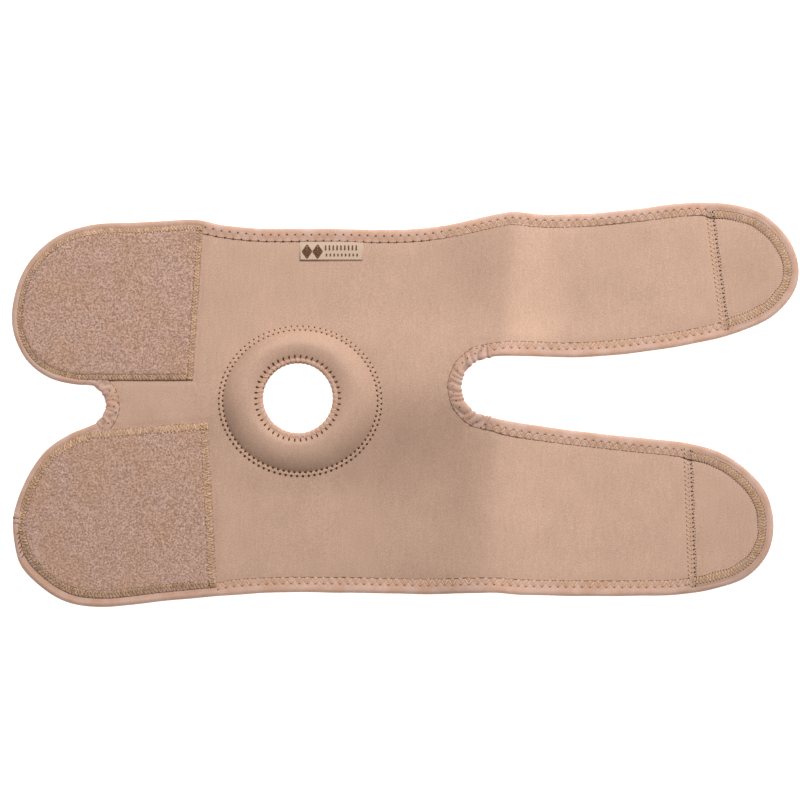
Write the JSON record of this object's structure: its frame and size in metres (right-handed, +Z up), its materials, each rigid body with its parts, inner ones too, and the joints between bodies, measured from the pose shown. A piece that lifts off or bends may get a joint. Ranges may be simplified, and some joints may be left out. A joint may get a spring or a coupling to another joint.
{
  "type": "knee brace",
  "caption": "Flat wrap-around neoprene knee brace with an open padded kneecap ring, taped edges, brushed loop wings and hook-tipped straps.",
  "frame": {"origin": "middle of the brace's bounding box, on the surface that it lies on", "axes": "+X from the loop wings to the strap tips, +Y towards the thigh edge, +Z up, out of the face with the padded ring"},
  "size_m": [0.536, 0.2756, 0.0169],
  "materials": {
    "neoprene": "fine jersey knit bonded to foam, matt",
    "edge_tape": "soft knitted folded tape, matt",
    "loop_pile": "brushed loop pile, mottled, matt",
    "hook_tape": "moulded hook field, slight sheen",
    "label_cloth": "close woven ribbon, slight sheen",
    "thread": "twisted sewing thread"
  },
  "bodies": {
    "root": {"neoprene_panel": "neoprene", "thigh_edge_binding": "edge_tape", "upper_strap_binding": "edge_tape", "upper_tip_binding": "edge_tape", "calf_edge_binding": "edge_tape", "lower_strap_binding": "edge_tape", "lower_tip_binding": "edge_tape", "notch_binding": "edge_tape", "slot_binding": "edge_tape", "kneecap_ring": "neoprene", "hole_edging": "edge_tape", "upper_loop_pad": "loop_pile", "lower_loop_pad": "loop_pile", "upper_hook_tab": "hook_tape", "lower_hook_tab": "hook_tape", "woven_label": "label_cloth"}
  },
  "joints": []
}
